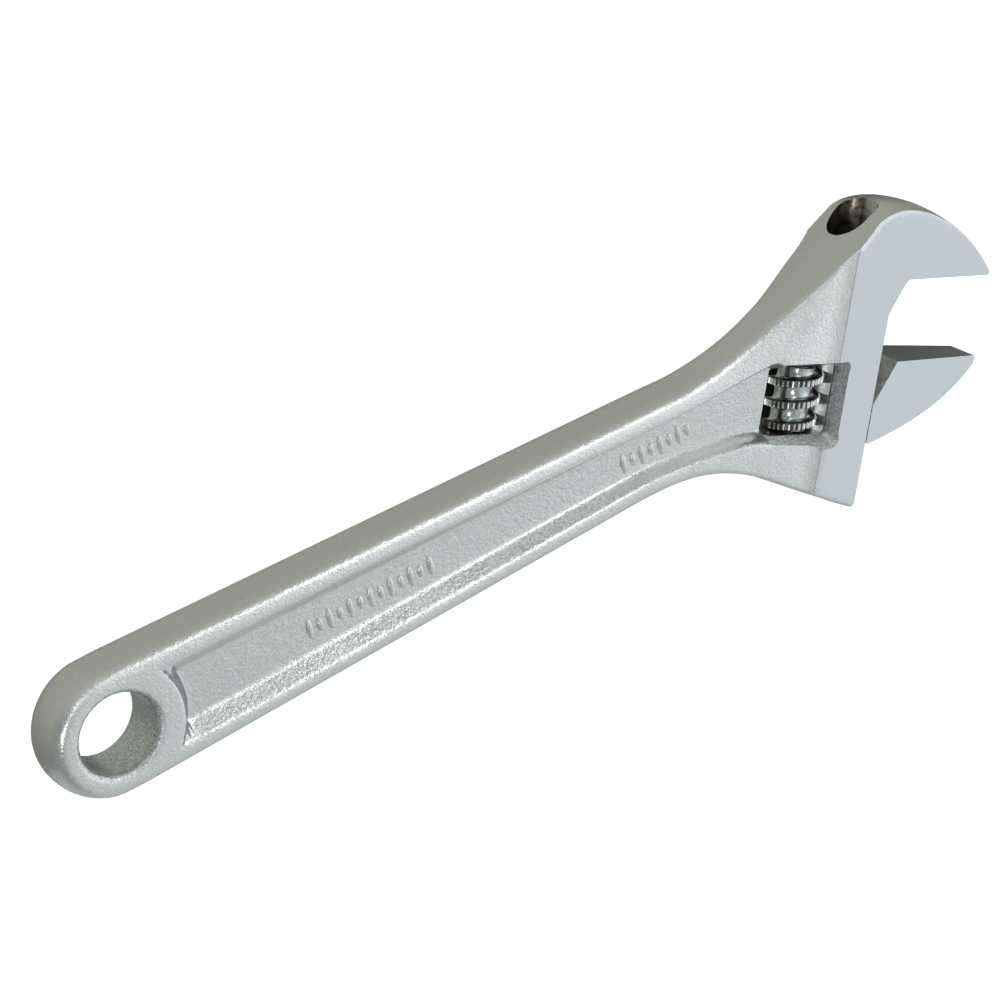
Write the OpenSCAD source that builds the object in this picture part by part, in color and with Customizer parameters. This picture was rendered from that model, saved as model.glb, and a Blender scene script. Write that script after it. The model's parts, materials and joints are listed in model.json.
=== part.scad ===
// Adjustable wrench: forged body, sliding jaw, knurl, knurl pin and knurl spring.
// Millimetres. The origin is the centre of the hang hole, halfway through the handle.
// +X runs along the handle to the head, +Z is the outward normal of the face that lies up.
// The head has its own axes: p towards the jaw tips, q in the direction the jaw closes.

/* [Handle] */
// Radius of the hang hole
hang_hole_r = 7; // [6:0.1:8.5]
// Radius of the handle's round end
end_r = 11.5; // [11:0.1:12.5]
// Distance from the hang hole's centre to the centre of the round end
end_shift = 0.8; // [0.5:0.1:3]
// Half the handle's width where the neck begins
neck_half_w = 8.4; // [7.5:0.1:9]
// Thickness of the handle
handle_t = 10.3; // [9:0.1:11]
// Depth of the recess in each face of the handle
recess_depth = 2.8; // [1:0.1:3]

/* [Head] */
// Angle between the handle and the jaws
head_angle = 23; // [22:0.5:24]
// Half thickness of the head at p = 0, where the jaws begin
head_half_t = 6.1; // [5.9:0.1:6.5]
// How much the half thickness falls for each millimetre towards the tips
head_taper = 0.11; // [0.08:0.01:0.12]
// Width of the raised band behind the jaws
band_w = 11; // [10:0.5:12]
// Reach of the fixed jaw beyond the band
jaw_reach = 26.1; // [24:0.1:28]

/* [Sliding jaw] */
// Opening between the grip faces
opening = 15.4; // [0:0.1:24]
// Radius of the round shank that slides in the head
shank_r = 4.13; // [4:0.01:4.14]
// Half thickness of the web that joins the shank to the hook
web_half_t = 1.85; // [1.5:0.05:1.85]
// Pitch of the rack teeth and of the knurl's thread
pitch = 4; // [3.8:0.1:4.2]

/* [Knurl] */
// Outer radius of the knurl's thread
thread_r = 5; // [4.8:0.1:5]
// Radius at the bottom of the thread
root_r = 3.35; // [3.2:0.05:3.35]
// Width of the thread's crest
crest_w = 1.1; // [0.8:0.1:1.2]
// Radius of the pin that the knurl turns on
pin_r = 1.5; // [1.2:0.1:1.6]

/* [Hidden] */
$fn = 72;

far = 60;                    // longer than any cut needs to be
run_clear = 0.07;            // radial clearance of a running fit
head_x = 165.4;              // the head's origin, where the band's edge meets the grip plane
head_y = 9.4;

channel_p = -7.5;            // axis of the shank and of the channel it slides in
channel_r = 4.2;
slot_half_t = 1.95;
slot_floor_p = -3.2;         // end of the slot where it runs on through the fixed jaw's root
slot_top_q = -6.2;           // the slot is open to the front below this

window_q = [-28.9, -15.9];   // the window's ends at mid thickness
window_p = [-22.8, -9];    // and its sides
window_flare = 1.6;          // how much it widens at the faces

knurl_p = -14.2;             // axis of the knurl
knurl_q = [-28.6, -16.9];    // the knurl's two ends
crest_q = -18.1;             // a crest of the thread, where it faces the rack
counterbore_r = 2.65;
counterbore_d = 1.6;

tooth_gap = 0.25;            // clearance on each flank of the rack teeth
flank_slope = 0.2;           // how much a gap widens for each millimetre towards its mouth
rack_floor_p = knurl_p + thread_r + 0.22;
rack_tip_p = knurl_p + root_r + 0.15;
tooth_span = [-22.7, 5.3];   // first and last gap between teeth, from the grip face
shank_span = [-24.4, 8.4];   // the shank's ends, from the grip face
web_top = -7.9;              // the web's top corner, from the grip face
hook_gap = 0.2;              // play between the hook and the band

pin_end_q = -12.4;
pin_head_r = 2.2;
pin_head_q = [-38.6, -36.6];

wire_r = 0.28;
coil_r = 2.05;
coil_turns = 3;

// A point of a cubic Bezier curve, and the curve as a list of points
function mix4(c, t) =
    pow(1 - t, 3) * c[0] + 3 * pow(1 - t, 2) * t * c[1]
    + 3 * (1 - t) * t * t * c[2] + pow(t, 3) * c[3];
function curve(c, n) = [for (i = [0 : n]) mix4(c, i / n)];
function arc(centre, r, from, to, n) =
    [for (i = [0 : n]) centre + r * [cos(from + (to - from) * i / n),
                                     sin(from + (to - from) * i / n)]];
// Head coordinates (p, q) as handle coordinates (x, y)
function from_head(pt) =
    [head_x + pt.x * cos(head_angle) + pt.y * sin(head_angle),
     head_y - pt.x * sin(head_angle) + pt.y * cos(head_angle)];

module in_head() translate([head_x, head_y, 0]) rotate([0, 0, -head_angle]) children();

// Half thickness of the head's polished faces at p
function half_t(p) = head_half_t - head_taper * p;

// ---- outlines in plan ----

upper_neck = curve([[118, neck_half_w - 0.45], [135.2, 8.1], [146.6, 14.3], [157.4, 19.9]], 14);
lower_neck = curve([[131, -16.55], [122.5, -10.2], [117, -8.2], [104, -neck_half_w - 0.1]], 12);
jaw_back = concat(
    curve([[-7.6, 11.2], [-5.5, 13.2], [-2.6, 13.8], [0.3, 13.85]], 6),
    curve([[0.3, 13.85], [10, 13.5], [19.7, 7.9], [jaw_reach - 0.05, 1.05]], 14));
fixed_jaw = concat(jaw_back, [
    [jaw_reach + 0.15, 0.5],
    [jaw_reach - 0.3, 0],
    [4.3, 0],
    [3.2, -0.75],
    [0.5, -5.4],
    [0, -6.6]]);
band_foot = arc([-1.2, -42.1], 1.2, 0, -105, 5);

body_outline = concat(
    arc([-end_shift, 0], end_r, 266, 94, 24),
    upper_neck,
    [for (pt = concat(fixed_jaw, band_foot)) from_head(pt)],
    lower_neck);

hook_outline = concat(
    [[hook_gap, web_top], [4.8, 0], [jaw_reach + 0.1, 0], [jaw_reach + 0.4, -0.4]],
    curve([[jaw_reach + 0.3, -1.6], [20.6, -8.2], [13.2, -11.9], [0.7, -15.35]], 14),
    [[hook_gap, -15.2]]);

recess_outline = [
    [8, 6.6], [98, 4.5], [112, 3.8], [145, 3.8], [145, -14],
    [133, -8.9], [122, -5.4], [112, -4], [98, -4.4], [8, -6.4]];

// ---- shared cutters, in the head's axes ----

// Everything between the two polished faces, the cheeks and the handle's faces
module thickness_profile() {
    side = [[-240, handle_t / 2], [-38, handle_t / 2], [-band_w - 0.5, half_t(-band_w) - 0.75],
            [-band_w, half_t(-band_w)], [jaw_reach + 4, half_t(jaw_reach + 4)]];
    mirrored = [for (i = [len(side) - 1 : -1 : 0]) [side[i].x, -side[i].y]];
    rotate([90, 0, 0]) linear_extrude(height = 400, center = true) polygon(concat(side, mirrored));
}

// A slot with straight sides at mid thickness that flares towards both faces
module flared(span, flare, flat_half, reach) {
    polygon([[span[0] - flare, -reach], [span[1] + flare, -reach],
             [span[1], -flat_half], [span[1], flat_half],
             [span[1] + flare, reach], [span[0] - flare, reach],
             [span[0], flat_half], [span[0], -flat_half]]);
}

module window() {
    intersection() {
        rotate([90, 0, 0]) linear_extrude(height = 2 * far, center = true)
            flared(window_p, window_flare, 4.2, 8);
        rotate([90, 0, 90]) linear_extrude(height = 2 * far, center = true)
            flared(window_q, window_flare, 4.2, 8);
    }
}

module along_q(p, r, from, to) {
    translate([p, from, 0]) rotate([-90, 0, 0]) cylinder(r = r, h = to - from);
}

module channel() {
    along_q(channel_p, channel_r, -far, far);
    translate([channel_p, -far, -slot_half_t])
        cube([slot_floor_p - channel_p, 2 * far, 2 * slot_half_t]);
    translate([channel_p, -far, -slot_half_t])
        cube([8 - channel_p, far + slot_top_q, 2 * slot_half_t]);
}

// ---- parts ----

// One forging: handle, head and fixed jaw
module body() {
    color("gainsboro")
    difference() {
        intersection() {
            linear_extrude(height = 20, center = true) polygon(body_outline);
            in_head() thickness_profile();
        }
        cylinder(r = hang_hole_r, h = 20, center = true);
        for (side = [-1, 1]) recess(side);
        in_head() {
            window();
            channel();
            along_q(knurl_p, pin_r + 0.03, -far, pin_end_q + 0.1);
            along_q(knurl_p, pin_head_r + 0.1, -far, pin_head_q[1] + 0.02);
        }
    }
}

// The recess in one face, which stops short of the hang hole and opens into the window
module recess(side) {
    floor_z = handle_t / 2 - recess_depth;
    translate([0, 0, side > 0 ? floor_z : -floor_z - 8]) linear_extrude(height = 8) difference() {
        polygon(recess_outline);
        circle(r = 12.4);
        end_p = window_p[0] + 2;
        translate(from_head([end_p, -far])) rotate(-head_angle) square([far, 2 * far]);
        for (q = [window_q[1] - 0.4, window_q[0] + 0.4 - far])
            translate(from_head([window_p[0], q])) rotate(-head_angle) square([far, far]);
    }
}

// Hook, web and toothed shank in one piece, drawn closed and moved down by the opening
module sliding_jaw() {
    color("silver")
    in_head() translate([0, -opening, 0]) difference() {
        union() {
            intersection() {
                linear_extrude(height = 20, center = true) polygon(hook_outline);
                thickness_profile();
            }
            translate([channel_p, -15.2, -web_half_t])
                cube([hook_gap + 0.2 - channel_p, web_top + 15.2, 2 * web_half_t]);
            along_q(channel_p, shank_r, shank_span[0], shank_span[1]);
        }
        for (q = [tooth_span[0] : pitch : tooth_span[1]]) translate([0, q, 0]) rack_gap();
        translate([rack_tip_p - far, -far, -far]) cube([far, 2 * far, 2 * far]);
    }
}

// The gap between two rack teeth, tilted to the thread's lead angle
module rack_gap() {
    tilt = atan(pitch / (PI * (thread_r + root_r)));
    floor_half = crest_w / 2 + tooth_gap;
    mouth_p = rack_tip_p - 2;
    mouth_half = floor_half + flank_slope * (rack_floor_p - mouth_p);
    rotate([tilt, 0, 0]) linear_extrude(height = 16, center = true)
        polygon([[mouth_p, -mouth_half], [rack_floor_p, -floor_half],
                 [rack_floor_p, floor_half], [mouth_p, mouth_half]]);
}

// The thread's section over one pitch: radius against height
thread_section = [[root_r, 0], [root_r, 1.15], [thread_r, 1.15 + 0.3],
                  [thread_r, 1.45 + crest_w], [root_r, 1.75 + crest_w]];
thread_mid = 1.45 + crest_w / 2;

// A right-hand thread about +Z, closed by a cone at each end, its first crest at height thread_mid
module thread(turns) {
    n = 36;
    k = len(thread_section);
    columns = n * (turns + 1);
    at = [for (i = [0 : columns]) for (j = [0 : k - 1])
        let (r = thread_section[j][0], h = thread_section[j][1] + pitch * i / n)
        [r * cos(360 * i / n), r * sin(360 * i / n), h]];
    low = len(at);
    high = low + 1;
    sides = [for (i = [0 : n * turns - 1]) for (j = [0 : k - 1])
        let (a = i * k + j, b = a + k,
             c = j < k - 1 ? b + 1 : (i + 1 + n) * k, d = j < k - 1 ? a + 1 : (i + n) * k)
        each [[a, c, b], [a, d, c]]];
    foot = concat([for (i = [0 : n]) i * k], [for (j = [k - 1 : -1 : 1]) j]);
    last = n * turns * k;
    top = concat([for (i = [0 : n]) last + i * k], [for (j = [k - 1 : -1 : 1]) last + j]);
    bottom_fan = [for (i = [0 : len(foot) - 1]) [low, foot[i], foot[(i + 1) % len(foot)]]];
    top_fan = [for (i = [0 : len(top) - 1]) [high, top[(i + 1) % len(top)], top[i]]];
    polyhedron(points = concat(at, [[0, 0, -pitch], [0, 0, pitch * (turns + 2)]]),
               faces = concat(sides, bottom_fan, top_fan));
}

// The knurl: a threaded sleeve with a counterbore for its spring
module knurl() {
    length = knurl_q[1] - knurl_q[0];
    start = crest_q - 4 * pitch - thread_mid;
    color("darkgray")
    in_head() translate([knurl_p, 0, 0]) rotate([-90, 0, 0]) difference() {
        intersection() {
            translate([0, 0, start]) thread(5);
            translate([-10, -10, knurl_q[0]]) cube([20, 20, length]);
        }
        cylinder(r = pin_r + run_clear, h = 4 * far, center = true);
        translate([0, 0, knurl_q[1] - counterbore_d]) cylinder(r = counterbore_r, h = 10);
    }
}

// The pin that the knurl turns on, with a slotted head at the heel of the head
module knurl_pin() {
    color("dimgray")
    in_head() difference() {
        union() {
            along_q(knurl_p, pin_r, pin_head_q[0], pin_end_q);
            along_q(knurl_p, pin_head_r, pin_head_q[0], pin_head_q[1]);
        }
        translate([knurl_p - 0.4, pin_head_q[0] - 1, -5]) cube([0.8, 1.9, 10]);
    }
}

// The coil spring between the window's wall and the knurl's counterbore
module knurl_spring() {
    sides = 8;
    steps = 16 * coil_turns;
    top_q = window_q[1] - wire_r - 0.03;
    foot_q = knurl_q[1] - counterbore_d + wire_r + 0.03;
    rings = [for (i = [0 : steps]) for (s = [0 : sides - 1])
        let (turn = 360 * coil_turns * i / steps, r = coil_r + wire_r * cos(360 * s / sides))
        [r * cos(turn), foot_q + (top_q - foot_q) * i / steps + wire_r * sin(360 * s / sides),
         r * sin(turn)]];
    wall = [for (i = [0 : steps - 1]) for (s = [0 : sides - 1])
        let (a = i * sides + s, b = i * sides + (s + 1) % sides)
        each [[a, b + sides, b], [a, a + sides, b + sides]]];
    color("gray")
    in_head() translate([knurl_p, 0, 0])
        polyhedron(points = rings,
                   faces = concat(wall, [[for (s = [0 : sides - 1]) s],
                                         [for (s = [sides - 1 : -1 : 0]) steps * sides + s]]));
}

body();
sliding_jaw();
knurl();
knurl_pin();
knurl_spring();
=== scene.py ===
# %% [markdown]
# # An adjustable wrench, built piece by piece
# The tool has five pieces: a forged body (handle, head and fixed jaw in one), a hook jaw that
# slides in the head, a knurl whose thread moves the jaw, the pin that the knurl turns on, and a
# small spring. Every cell below makes or finishes one thing, in the order a shop would.
# Lengths in the code are millimetres, because that is how a tool is drawn. Meshes are turned
# into metres at the moment they are made.

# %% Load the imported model, which gives every place and axis
import json
import math
import bmesh
import bpy
import numpy as np
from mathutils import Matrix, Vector
from mathutils.geometry import delaunay_2d_cdt
from mathutils.kdtree import KDTree


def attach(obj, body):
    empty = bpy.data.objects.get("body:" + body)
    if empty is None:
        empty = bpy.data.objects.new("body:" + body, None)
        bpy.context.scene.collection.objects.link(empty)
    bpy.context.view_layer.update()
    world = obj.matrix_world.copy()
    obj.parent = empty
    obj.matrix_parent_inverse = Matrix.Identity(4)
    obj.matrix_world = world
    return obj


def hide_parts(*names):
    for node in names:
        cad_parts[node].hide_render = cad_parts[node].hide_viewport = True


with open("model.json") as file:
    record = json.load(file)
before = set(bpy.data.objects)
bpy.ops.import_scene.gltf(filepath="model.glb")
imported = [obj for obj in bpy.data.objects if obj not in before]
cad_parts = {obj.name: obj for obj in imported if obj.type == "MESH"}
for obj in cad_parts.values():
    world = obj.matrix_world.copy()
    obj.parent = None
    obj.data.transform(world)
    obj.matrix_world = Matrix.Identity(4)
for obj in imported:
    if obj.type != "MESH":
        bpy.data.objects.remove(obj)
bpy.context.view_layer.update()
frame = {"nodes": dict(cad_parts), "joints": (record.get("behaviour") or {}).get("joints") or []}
MM = 0.001
joints = {joint["name"]: joint for joint in frame["joints"]}
print("pieces in the frame:", sorted(frame["nodes"]))

# %% [markdown]
# ## The head's own axes
# The jaws stand at an angle to the handle. Drawing the head along its own axes keeps its
# numbers simple: p runs out to the jaw tips and q runs the way the jaw closes. The sliding
# joint's axis is q, and the knurl's joint sits at a known place in the head, so both axes and
# their origin come from the frame and can't drift away from the moving parts.

# %% Head axes from the joints
KNURL_P = -14.2              # the knurl's axis, in the head
KNURL_MID_Q = -22.75         # and its middle
q_axis = np.array(joints["jaw_slide"]["axis"][:2])
p_axis = np.array([q_axis[1], -q_axis[0]])
head_at = (np.array(joints["knurl_spin"]["pos_m"][:2]) / MM
           - KNURL_P * p_axis - KNURL_MID_Q * q_axis)


def from_head(pq):
    """Head coordinates (p, q) as handle coordinates (x, y)."""
    pq = np.asarray(pq, float)
    return head_at + pq[..., :1] * p_axis + pq[..., 1:2] * q_axis


def to_head(xy):
    """Handle coordinates (x, y) as head coordinates (p, q)."""
    rel = np.asarray(xy, float)[..., :2] - head_at
    return np.stack([rel @ p_axis, rel @ q_axis], -1)


print("the head starts at", head_at.round(2), "mm")

# %% [markdown]
# ## Small drawing tools
# An outline is a list of points, and each point may carry more than its place: how far the
# edge is rounded there, for one. Curves are cubic Beziers, as in any drawing program.

# %% Curves and outlines


def bezier(controls, count):
    """Points along a cubic Bezier curve."""
    c = np.array(controls, float)
    t = np.linspace(0, 1, count + 1)[:, None]
    return ((1 - t) ** 3 * c[0] + 3 * (1 - t) ** 2 * t * c[1]
            + 3 * (1 - t) * t ** 2 * c[2] + t ** 3 * c[3])


def arc(centre, radius, start, end, count):
    """Points along a circle's arc, angles in degrees."""
    a = np.radians(np.linspace(start, end, count + 1))
    return np.array(centre) + radius * np.stack([np.cos(a), np.sin(a)], -1)


def respace(rows, step):
    """A closed outline with points about one step apart; its own points are kept.
    Extra columns are carried along."""
    out = []
    for a, b in zip(rows, np.roll(rows, -1, 0)):
        count = max(1, int(math.ceil(np.hypot(*(b - a)[:2]) / step)))
        out += [a + (b - a) * k / count for k in range(count)]
    return np.array(out)


def outward(points):
    """Unit normals of a closed outline, pointing away from what it encloses."""
    before, after = points - np.roll(points, 1, 0), np.roll(points, -1, 0) - points
    before /= np.maximum(np.hypot(*before.T), 1e-9)[:, None]
    after /= np.maximum(np.hypot(*after.T), 1e-9)[:, None]
    along = before + after
    along /= np.maximum(np.hypot(*along.T), 1e-9)[:, None]
    x, y = points.T
    turn = np.sum(x * np.roll(y, -1) - np.roll(x, -1) * y)
    side = 1 if turn > 0 else -1
    return side * np.stack([along[:, 1], -along[:, 0]], -1)


def depth_inside(xy, outline):
    """Signed distance to a closed outline: above 0 inside it."""
    best = np.full(len(xy), 1e9)
    inside = np.zeros(len(xy), bool)
    for a, b in zip(outline, np.roll(outline, -1, 0)):
        d = b - a
        t = np.clip((xy - a) @ d / max(d @ d, 1e-12), 0, 1)
        best = np.minimum(best, np.hypot(*(xy - a - t[:, None] * d).T))
        crosses = (a[1] > xy[:, 1]) != (b[1] > xy[:, 1])
        rise = np.where(abs(d[1]) > 1e-12, d[1], 1e-12)
        inside ^= crosses & (xy[:, 0] < a[0] + (xy[:, 1] - a[1]) / rise * d[0])
    return np.where(inside, best, -best)


# %% [markdown]
# ## From outline to solid plate
# The body is a plate: alike on both faces, with an outline, and a face whose height changes
# from place to place. The function below triangulates one face so that mesh edges lie along
# every line where the surface bends, lifts each vertex to its height, wraps each boundary down
# to mid thickness in the edge's own rounded section, and mirrors the lot. A plain bevel could
# not do this, because the rounding changes along the edge.

# %% Triangulate a face along its feature lines
RIM_GAP, HOLE_GAP = 0.12, 0.3    # how far lines stop short of the outline and of its holes
ROW_STEP = 0.866             # rows of an even triangle grid, in spacings
LINE_GAP = 0.6               # how far grid points keep from the lines, in spacings


def face_mesh(rings, lines, spacing):
    """Triangles that fill the first ring, leave out the others, and follow the lines."""
    points, edges = [], []

    def add(row, closed):
        first = len(points)
        points.extend(Vector(p) for p in row)
        last = len(row) if closed else len(row) - 1
        edges.extend((first + i, first + (i + 1) % len(row)) for i in range(last))

    for ring in rings:
        add(ring, True)
    for line in lines:
        kept = depth_inside(line, rings[0]) > RIM_GAP
        for hole in rings[1:]:
            kept &= depth_inside(line, hole) < -HOLE_GAP
        for start in np.flatnonzero(kept & ~np.r_[False, kept[:-1]]):
            end = start
            while end < len(line) and kept[end]:
                end += 1
            if end - start > 1:
                add(line[start:end], False)
    tree = KDTree(len(points))
    for i, p in enumerate(points):
        tree.insert((p.x, p.y, 0), i)
    tree.balance()
    low, high = rings[0].min(0), rings[0].max(0)
    rows = np.arange(low[1], high[1], spacing * ROW_STEP)
    grid = np.array([(x + (k % 2) * spacing / 2, y) for k, y in enumerate(rows)
                     for x in np.arange(low[0], high[0], spacing)])
    keep = depth_inside(grid, rings[0]) > 0
    for x, y in grid[keep]:
        if tree.find((x, y, 0))[2] > LINE_GAP * spacing:
            points.append(Vector((x, y)))
    flat, _, faces, _, _, _ = delaunay_2d_cdt(points, edges, [], 0, 1e-5)
    flat, faces = np.array(flat), np.array(faces)
    middle = flat[faces].mean(1)
    keep = depth_inside(middle, rings[0]) > 0
    for hole in rings[1:]:
        keep &= depth_inside(middle, hole) < 0
    return flat, faces[keep]


def boundary_loops(faces):
    """The closed loops of edges that have a triangle on one side only."""
    seen = {(a, b) for f in faces for a, b in zip(f, np.roll(f, -1))}
    after = {a: b for a, b in seen if (b, a) not in seen}
    loops = []
    while after:
        start, b = after.popitem()
        loop = [start]
        while b != start:
            loop.append(b)
            b = after.pop(b)
        loops.append(loop)
    return loops


# %% Wrap the boundaries and mirror the plate


def nearest_on(ring, point):
    """Where on a closed ring a point lies: the segment's number and the share along it."""
    d = np.roll(ring, -1, 0) - ring
    t = np.clip(((point - ring) * d).sum(1) / np.maximum((d * d).sum(1), 1e-12), 0, 1)
    gap = np.hypot(*(ring + t[:, None] * d - point).T)
    i = int(gap.argmin())
    return i, t[i], gap[i]


def tidy_normals(piece, gap=0.0005):
    """Merge doubled vertices and turn every face outwards."""
    work = bmesh.new()
    work.from_mesh(piece.data)
    bmesh.ops.remove_doubles(work, verts=work.verts, dist=gap * MM)
    bmesh.ops.dissolve_degenerate(work, edges=work.edges, dist=gap * MM)
    bmesh.ops.recalc_face_normals(work, faces=work.faces)
    open_edges = sum(len(e.link_faces) != 2 for e in work.edges)
    work.to_mesh(piece.data)
    work.free()
    print(piece.name, "open edges:", open_edges)


def mesh_from(name, points, faces):
    """A mesh object from millimetre points."""
    mesh = bpy.data.meshes.new(name)
    mesh.from_pydata([Vector(p) * MM for p in points], [], faces)
    piece = bpy.data.objects.new(name, mesh)
    bpy.context.scene.collection.objects.link(piece)
    return piece


def solid_from(name, points, faces):
    """A closed mesh object from millimetre points."""
    piece = mesh_from(name, points, faces)
    tidy_normals(piece)
    return piece


def plate(name, edges, lines, height, spacing):
    """A plate alike on both faces. An edge is (ring on the face, ring at mid thickness,
    section), where section(i, t, height) gives its steps as (share of the way in, height)."""
    flat, faces = face_mesh([e[0] for e in edges], lines, spacing)
    z = height(flat)
    points = [tuple(p) for p in np.column_stack([flat, z])]
    count = len(points)
    points += [(x, y, -h) for x, y, h in points]
    solid = [tuple(f) for f in faces] + [tuple(f[::-1] + count) for f in faces]
    for loop in boundary_loops(faces):
        columns = []
        for v in loop:
            at = flat[v]
            found = [nearest_on(e[0], at) for e in edges]
            face_ring, mid_ring, section = edges[int(np.argmin([f[2] for f in found]))]
            i, t, _ = min(found, key=lambda f: f[2])
            base = mid_ring[i] * (1 - t) + mid_ring[(i + 1) % len(mid_ring)] * t
            steps = section(i, t, z[v])
            front = [v]
            back = [v + count]
            for share, h in steps[-2:0:-1]:
                x, y = base + (at - base) * share
                points.append((x, y, h))
                points.append((x, y, -h))
                front.append(len(points) - 2)
                back.append(len(points) - 1)
            points.append((*base, 0.0))
            columns.append(front + [len(points) - 1] + back[::-1])
        for left, right in zip(columns, columns[1:] + columns[:1]):
            for k in range(len(left) - 1):
                solid.append((right[k], left[k], left[k + 1], right[k + 1]))
    piece = solid_from(name, points, solid)
    print(name, "has", len(piece.data.polygons), "faces")
    return piece


def rounded_edge(inset, radius, top, arcs=7, drop=1.0):
    """Steps of an edge's section: a slight crown, then a fillet that meets the face.
    drop stretches the fillet down the side."""
    radius = min(radius, inset, top)
    fall = min(radius * drop, top)
    side = top - fall
    steps = [((inset - radius) * s * s, side * s) for s in (0, 1 / 3, 2 / 3, 1)]
    for k in range(1, arcs + 1):
        a = math.radians(90 * k / arcs)
        steps.append((inset - radius + radius * (1 - math.cos(a)), side + fall * math.sin(a)))
    return [(s / inset, h) for s, h in steps]


# %% [markdown]
# ## The body's outline and edges
# The handle tapers from the round end to the neck, where it opens into the head. Forging
# leaves a generous round on the handle's edges, and the head's back is crowned, but its
# polished face ends in a crisp corner. So every outline point carries two more numbers: how far
# in the face starts, and the radius of the fillet there.

# %% Outline of the body, as x, y, inset and fillet
HANG_R = 7.0                 # the hang hole
HANG_ROUND = 1.3             # the worn round at its rim
SIDE_ROUND = 2.46            # the handle's edge fillet
END_ROUND = 2.7              # and round its end
CRISP = 0.16                 # a ground edge, only just broken


def stations(points, inset, fillet):
    """Outline points with the edge numbers at their start and end blended between."""
    t = np.linspace(0, 1, len(points))
    return np.column_stack([points, *(a + (b - a) * t for a, b in (inset, fillet))])


round_end = arc((-0.8, 0), 11.5, 266, 94, 40)
swell = np.sin(np.linspace(0, math.pi, len(round_end))) ** 2
end_inset = SIDE_ROUND + (END_ROUND - SIDE_ROUND) * swell
round_end = np.column_stack([round_end, end_inset, end_inset])
upper_neck = bezier([[118, 7.95], [134.8, 8.45], [146.3, 14.7], [157.1, 20.35]], 40)
upper_neck = np.vstack([
    stations(upper_neck[:21], (SIDE_ROUND, SIDE_ROUND), (SIDE_ROUND, SIDE_ROUND)),
    stations(upper_neck[21:], (SIDE_ROUND, 1.5), (SIDE_ROUND, 0.35))])
jaw_back = np.vstack([
    stations(from_head(bezier([[-7.8, 11.65], [-5.6, 13.3], [-2.6, 13.8], [0.3, 13.85]], 14)),
             (1.5, 1.2), (0.3, 0.4)),
    stations(from_head(bezier([[0.3, 13.85], [10, 13.5], [19.7, 7.9], [26.05, 1.05]], 44)[1:]),
             (1.2, 0.35), (0.4, 0.2))])
grip = stations(from_head([[26.25, 0.5], [25.8, 0], [4.4, 0], [3.9, -0.1], [3.2, -0.75],
                           [0.5, -5.4], [0.1, -6.2], [0, -6.8], [0, -41.9]]),
                (0.2, CRISP), (CRISP, CRISP))
foot = stations(from_head(arc((-1.2, -42.1), 1.2, 0, -105, 8)), (CRISP, 1.2), (CRISP, 0.4))
lower_neck = bezier([[131, -16.55], [122.5, -10.2], [117, -8.2], [104, -8.5]], 40)
lower_neck = stations(lower_neck, (1.25, SIDE_ROUND), (0.6, SIDE_ROUND))
outline = respace(np.vstack([round_end, upper_neck, jaw_back, grip, foot, lower_neck]), 0.7)
mid_ring, body_inset, body_fillet = outline[:, :2], outline[:, 2], outline[:, 3]
face_ring = mid_ring - outward(mid_ring) * body_inset[:, None]
print("the outline has", len(outline), "points")


def body_edge(i, t, top):
    """The body's edge section at a place on its outline; round the end it reaches further
    down the side."""
    j = (i + 1) % len(outline)
    return rounded_edge(body_inset[i] * (1 - t) + body_inset[j] * t,
                        body_fillet[i] * (1 - t) + body_fillet[j] * t, top,
                        drop=1 + 0.8 * np.interp(mid_ring[i, 0], [-9, 3], [1, 0]))


# %% [markdown]
# ## The body's face as a height
# Seen from the front, every feature of the face is a change in height: the flat handle, the
# recess with its sloping walls, the cheek that rises towards the head, and the polished band
# that stands proud of it. Writing the face as one height function lets neighbouring features
# blend as they do in a forging, with soft lines where the die had a radius.

# %% Recess outlines: its rim on the face and the edge of its floor
HANDLE_H = 5.15              # half thickness of the handle
FLOOR_H = 2.33               # half thickness left between the two recesses
RIM_END_R, FLOOR_END_R = 12.0, 13.5   # the recess ends in an arc about the hang hole
recess_rim = np.vstack([
    arc((0, 0), RIM_END_R, -40, 39.5, 24),
    [[24.5, 7.35], [45, 6.9], [65, 6.35], [97, 5.3], [108.8, 4.69], [119.9, 4.29],
     [129, 4.5], [137.6, 4.9], [140.5, 2], [142, -8]],
    [[136.5, -10.0], [133, -9.25], [130.6, -8.1], [126.8, -6.92], [117.9, -5.54],
     [106.9, -4.75], [95.7, -5.29], [65, -6.45], [45, -7.15], [24.5, -7.65]]])
recess_floor = np.vstack([
    arc((0, 0), FLOOR_END_R, -22.5, 18.8, 14),
    [[27, 4.35], [40, 4.2], [65, 3.9], [97, 3.45], [109, 3.3], [120, 3.3], [129, 3.6],
     [137, 4.0], [139.5, 1.5], [140.5, -7.5]],
    [[136, -8.6], [133, -8.0], [130.2, -7.0], [126.4, -6.05], [117.9, -4.65],
     [109, -3.7], [98, -3.52], [68, -3.95], [40, -4.6], [27, -5.0]]])


def soften(outline, passes=2, reach=0.5):
    """Round an outline's corners by cutting each off a few times."""
    for _ in range(passes):
        after = np.roll(outline, -1, 0)
        long = np.hypot(*(after - outline).T)
        share = np.minimum(0.25, reach / np.maximum(long, 1e-9))[:, None]
        outline = np.stack([outline + (after - outline) * share,
                            after + (outline - after) * share], 1).reshape(-1, 2)
    return outline


recess_rim = soften(recess_rim)
recess_floor = soften(recess_floor)


def rounded_ramp(s, soft):
    """0 below 0 and s above it, with the corner rounded over soft on each side."""
    return np.where(s < -soft, 0, np.where(s > soft, s, (s + soft) ** 2 / (4 * soft)))


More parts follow.
